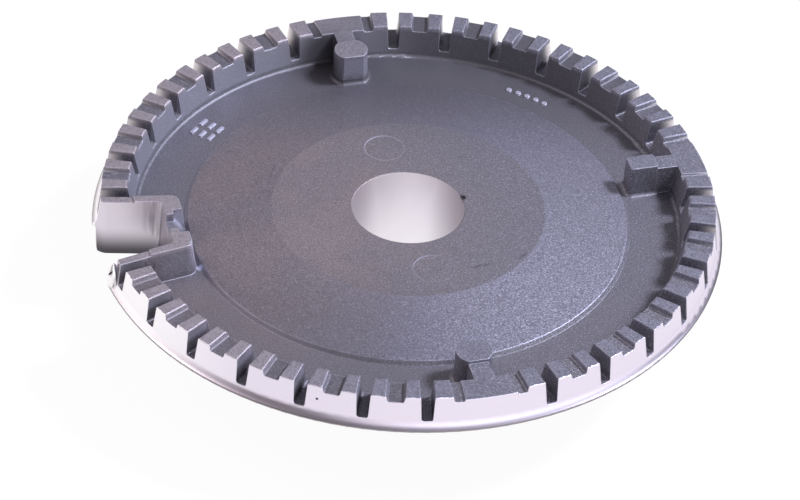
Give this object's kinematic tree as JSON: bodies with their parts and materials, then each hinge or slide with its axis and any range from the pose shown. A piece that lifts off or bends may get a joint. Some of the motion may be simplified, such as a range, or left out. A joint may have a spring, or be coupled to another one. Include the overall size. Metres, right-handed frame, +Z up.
{
  "type": "burner flame spreader",
  "caption": "Flame spreader of a large gas hob burner: ported ring with igniter cut-out, cap posts, conical floor and central gas feed tube.",
  "frame": {"origin": "on the burner's axis at the lower end of the feed tube, on which the part stands", "axes": "+Z up along the axis, the way gas leaves the centre hole; -X towards the igniter cut-out"},
  "size_m": [0.0999, 0.1, 0.0204],
  "materials": {
    "cast_alloy": "as cast, fine matt grain; outer band, hole and cut-out turned or milled bright"
  },
  "bodies": {
    "root": {"flame_spreader": "cast_alloy"}
  },
  "joints": []
}
